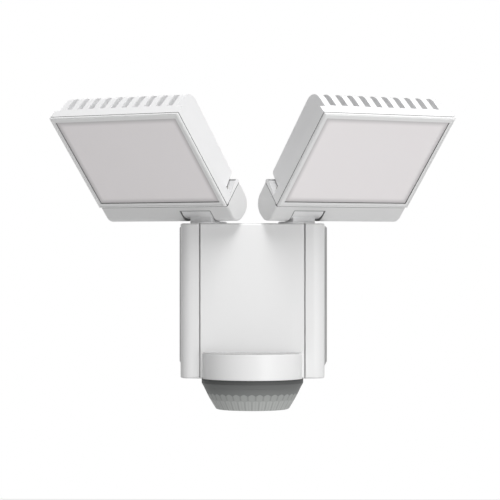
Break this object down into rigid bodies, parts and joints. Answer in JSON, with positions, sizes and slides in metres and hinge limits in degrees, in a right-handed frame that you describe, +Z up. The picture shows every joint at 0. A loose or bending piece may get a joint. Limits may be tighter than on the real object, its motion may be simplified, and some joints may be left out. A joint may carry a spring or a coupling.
{
  "type": "motion sensor security light",
  "caption": "Wall-mounted outdoor light: two panning and tilting finned LED heads on a boxy body, with a faceted motion sensor lens below it.",
  "frame": {"origin": "middle of the wall screw pattern, on the wall plane", "axes": "+Z up, the wall is the plane Y = 0 and the front faces -Y, +X to the right seen from the front"},
  "size_m": [0.2918, 0.1411, 0.2233],
  "materials": {
    "white_plastic": "satin",
    "white_coat": "white powder coat on cast aluminium",
    "frosted_pane": "frosted",
    "sensor_grey": "frosted",
    "black_rubber": "matte",
    "zinc_steel": "plated",
    "circuit_board": "lacquered",
    "led_yellow": "clear resin",
    "dark_plastic": "moulded"
  },
  "bodies": {
    "housing": {"adjust_pots": "dark_plastic", "board_screws": "zinc_steel", "cable_grommet": "black_rubber", "cover_screws": "zinc_steel", "driver_board": "circuit_board", "driver_components": "dark_plastic", "front_cover": "white_plastic", "housing_screws": "zinc_steel", "left_swivel_seal": "black_rubber", "left_swivel_washer": "zinc_steel", "main_housing": "white_plastic", "pyro_sensors": "zinc_steel", "right_swivel_seal": "black_rubber", "right_swivel_washer": "zinc_steel", "sensor_board": "circuit_board", "sensor_lens": "sensor_grey", "sensor_ring": "sensor_grey", "terminal_block": "dark_plastic", "wall_gasket": "black_rubber", "wall_plate": "white_plastic"},
    "left_swivel": {"left_knuckle": "white_coat", "left_swivel_nut": "zinc_steel"},
    "left_head": {"left_heatsink": "white_coat", "left_bezel": "white_plastic", "left_diffuser": "frosted_pane", "left_head_gasket": "black_rubber", "left_led_board": "circuit_board", "left_led_array": "led_yellow", "left_hinge_drum": "white_plastic", "left_tilt_pin": "zinc_steel", "left_drum_screws": "zinc_steel", "left_led_screws": "zinc_steel"},
    "right_swivel": {"right_knuckle": "white_coat", "right_swivel_nut": "zinc_steel"},
    "right_head": {"right_heatsink": "white_coat", "right_bezel": "white_plastic", "right_diffuser": "frosted_pane", "right_head_gasket": "black_rubber", "right_led_board": "circuit_board", "right_led_array": "led_yellow", "right_hinge_drum": "white_plastic", "right_tilt_pin": "zinc_steel", "right_drum_screws": "zinc_steel", "right_led_screws": "zinc_steel"},
    "time_dial": {"time_dial": "white_plastic"},
    "lux_dial": {"lux_dial": "white_plastic"}
  },
  "joints": [
    {"name": "left_pan", "type": "hinge", "parent": "housing", "child": "left_swivel", "pos_m": [-0.0318, -0.062, 0.0525], "axis": [0, 0, 1], "range_deg": [-5, 35]},
    {"name": "right_pan", "type": "hinge", "parent": "housing", "child": "right_swivel", "pos_m": [0.0318, -0.062, 0.0525], "axis": [0, 0, -1], "range_deg": [-5, 35]},
    {"name": "left_tilt", "type": "hinge", "parent": "left_swivel", "child": "left_head", "pos_m": [-0.03427, -0.06552, 0.0667], "axis": [0.8192, -0.5736, 0], "range_deg": [-42, 28]},
    {"name": "right_tilt", "type": "hinge", "parent": "right_swivel", "child": "right_head", "pos_m": [0.03427, -0.06552, 0.0667], "axis": [0.8192, 0.5736, 0], "range_deg": [-42, 28]},
    {"name": "time_turn", "type": "hinge", "parent": "housing", "child": "time_dial", "pos_m": [-0.043, -0.04, -0.0558], "axis": [0, 0, 1], "range_deg": [-135, 135]},
    {"name": "lux_turn", "type": "hinge", "parent": "housing", "child": "lux_dial", "pos_m": [0.043, -0.04, -0.0558], "axis": [0, 0, 1], "range_deg": [-135, 135]}
  ]
}
